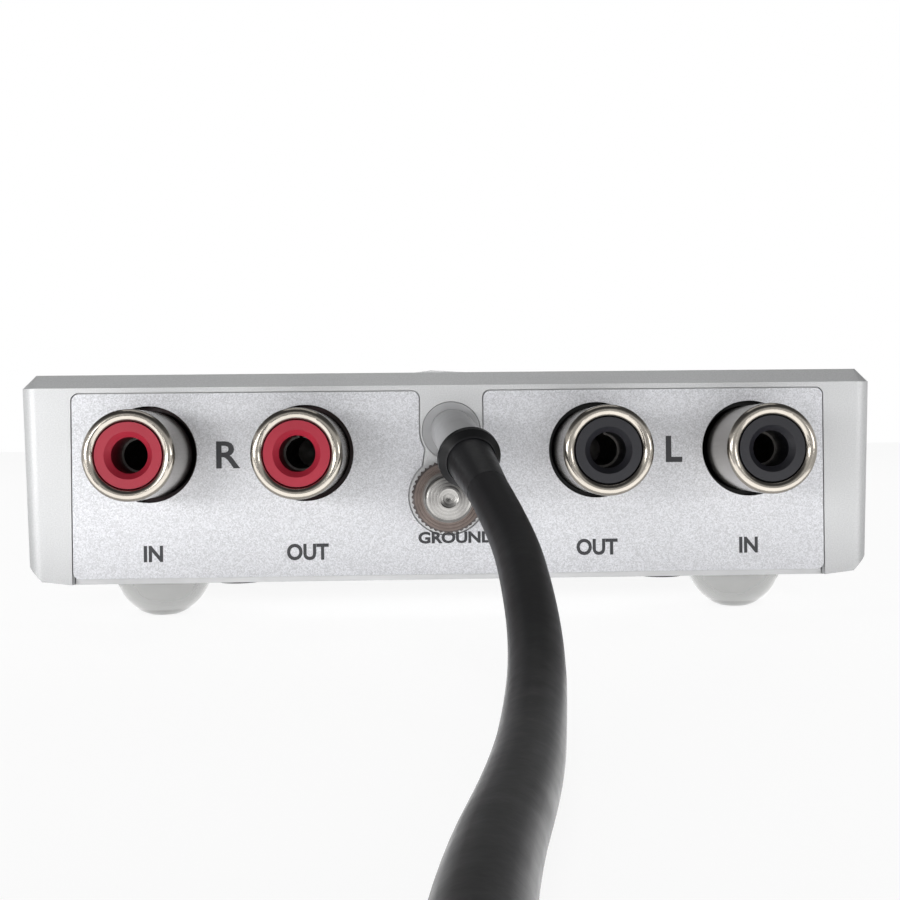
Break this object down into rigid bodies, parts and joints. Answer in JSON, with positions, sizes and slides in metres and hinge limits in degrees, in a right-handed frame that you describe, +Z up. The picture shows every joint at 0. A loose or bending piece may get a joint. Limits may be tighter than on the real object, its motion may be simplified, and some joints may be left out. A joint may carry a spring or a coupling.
{
  "type": "phono preamp",
  "caption": "Small phono preamp in a silver moulded case with RCA jacks, a ground thumbscrew on its rear and a captive low-voltage lead.",
  "frame": {"origin": "centre of the case and jacks at the underside of the feet", "axes": "+Z up, -Y out of the rear with the jacks, +X to the right when the rear is looked at"},
  "size_m": [0.1049, 0.2622, 0.0241],
  "materials": {
    "case_silver": "satin silver moulded plastic",
    "plate_silver": "fine sparkling silver",
    "floor_grey": "satin",
    "clear_foot": "clear, soft",
    "screw_black": "black oxide",
    "nickel": "warm nickel plating",
    "red_plastic": "moulded, satin",
    "black_plastic": "moulded, satin",
    "sleeve_grey": "soft satin vinyl",
    "lead_black": "satin vinyl",
    "tie_black": "matte",
    "brass": "turned",
    "steel": "plain",
    "board_green": "solder mask",
    "can_black": "sleeve",
    "film_yellow": "moulded",
    "resistor_tan": "lacquer",
    "chip_black": "moulded",
    "led_clear": "clear",
    "wire_red": "vinyl",
    "wire_black": "vinyl",
    "wire_green": "vinyl"
  },
  "bodies": {
    "preamp": {"bottom_plate": "floor_grey", "bottom_screws": "screw_black", "case_shell": "case_silver", "electrolytic_1": "can_black", "electrolytic_2": "can_black", "electrolytic_3": "can_black", "electrolytic_4": "can_black", "film_capacitor_1": "film_yellow", "film_capacitor_2": "film_yellow", "film_capacitor_3": "film_yellow", "film_capacitor_4": "film_yellow", "foot_front_left": "clear_foot", "foot_front_right": "clear_foot", "foot_rear_left": "clear_foot", "foot_rear_right": "clear_foot", "ground_bush": "brass", "ground_nut": "nickel", "ground_tag": "brass", "ground_wire": "wire_green", "jack_left_in_body": "black_plastic", "jack_left_in_contact": "nickel", "jack_left_in_shell": "nickel", "jack_left_out_body": "black_plastic", "jack_left_out_contact": "nickel", "jack_left_out_shell": "nickel", "jack_right_in_body": "red_plastic", "jack_right_in_contact": "nickel", "jack_right_in_shell": "nickel", "jack_right_out_body": "red_plastic", "jack_right_out_contact": "nickel", "jack_right_out_shell": "nickel", "lead_coil": "lead_black", "lead_collar": "black_plastic", "lead_grip": "tie_black", "lead_inner": "lead_black", "lead_sleeve": "sleeve_grey", "lead_tail": "lead_black", "lead_tie": "tie_black", "led_leg_minus": "steel", "led_leg_plus": "steel", "opamp_chip": "chip_black", "pcb": "board_green", "pcb_screws": "steel", "power_lead": "lead_black", "power_led": "led_clear", "rear_plate": "plate_silver", "resistor_1": "resistor_tan", "resistor_2": "resistor_tan", "resistor_3": "resistor_tan", "resistor_4": "resistor_tan", "socket_housing": "black_plastic", "socket_pin": "nickel", "socket_ring": "nickel", "supply_wire_minus": "wire_black", "supply_wire_plus": "wire_red", "voltage_regulator": "chip_black"},
    "ground_washer": {"ground_washer": "nickel"},
    "ground_thumbscrew": {"ground_thumbscrew": "nickel"}
  },
  "joints": [
    {"name": "ground_washer_slide", "type": "slide", "parent": "preamp", "child": "ground_washer", "axis": [0, -1, 0], "range_m": [0, 0.002]},
    {"name": "ground_thumbscrew_turn", "type": "hinge", "parent": "ground_washer", "child": "ground_thumbscrew", "pos_m": [-0.0004, -0.0512, 0.0119], "axis": [0, -1, 0], "range_deg": [0, 1440]}
  ],
  "couplings": [
    {"joint": "ground_thumbscrew_turn", "follows": "ground_washer_slide", "rad_per_m": 12566}
  ]
}
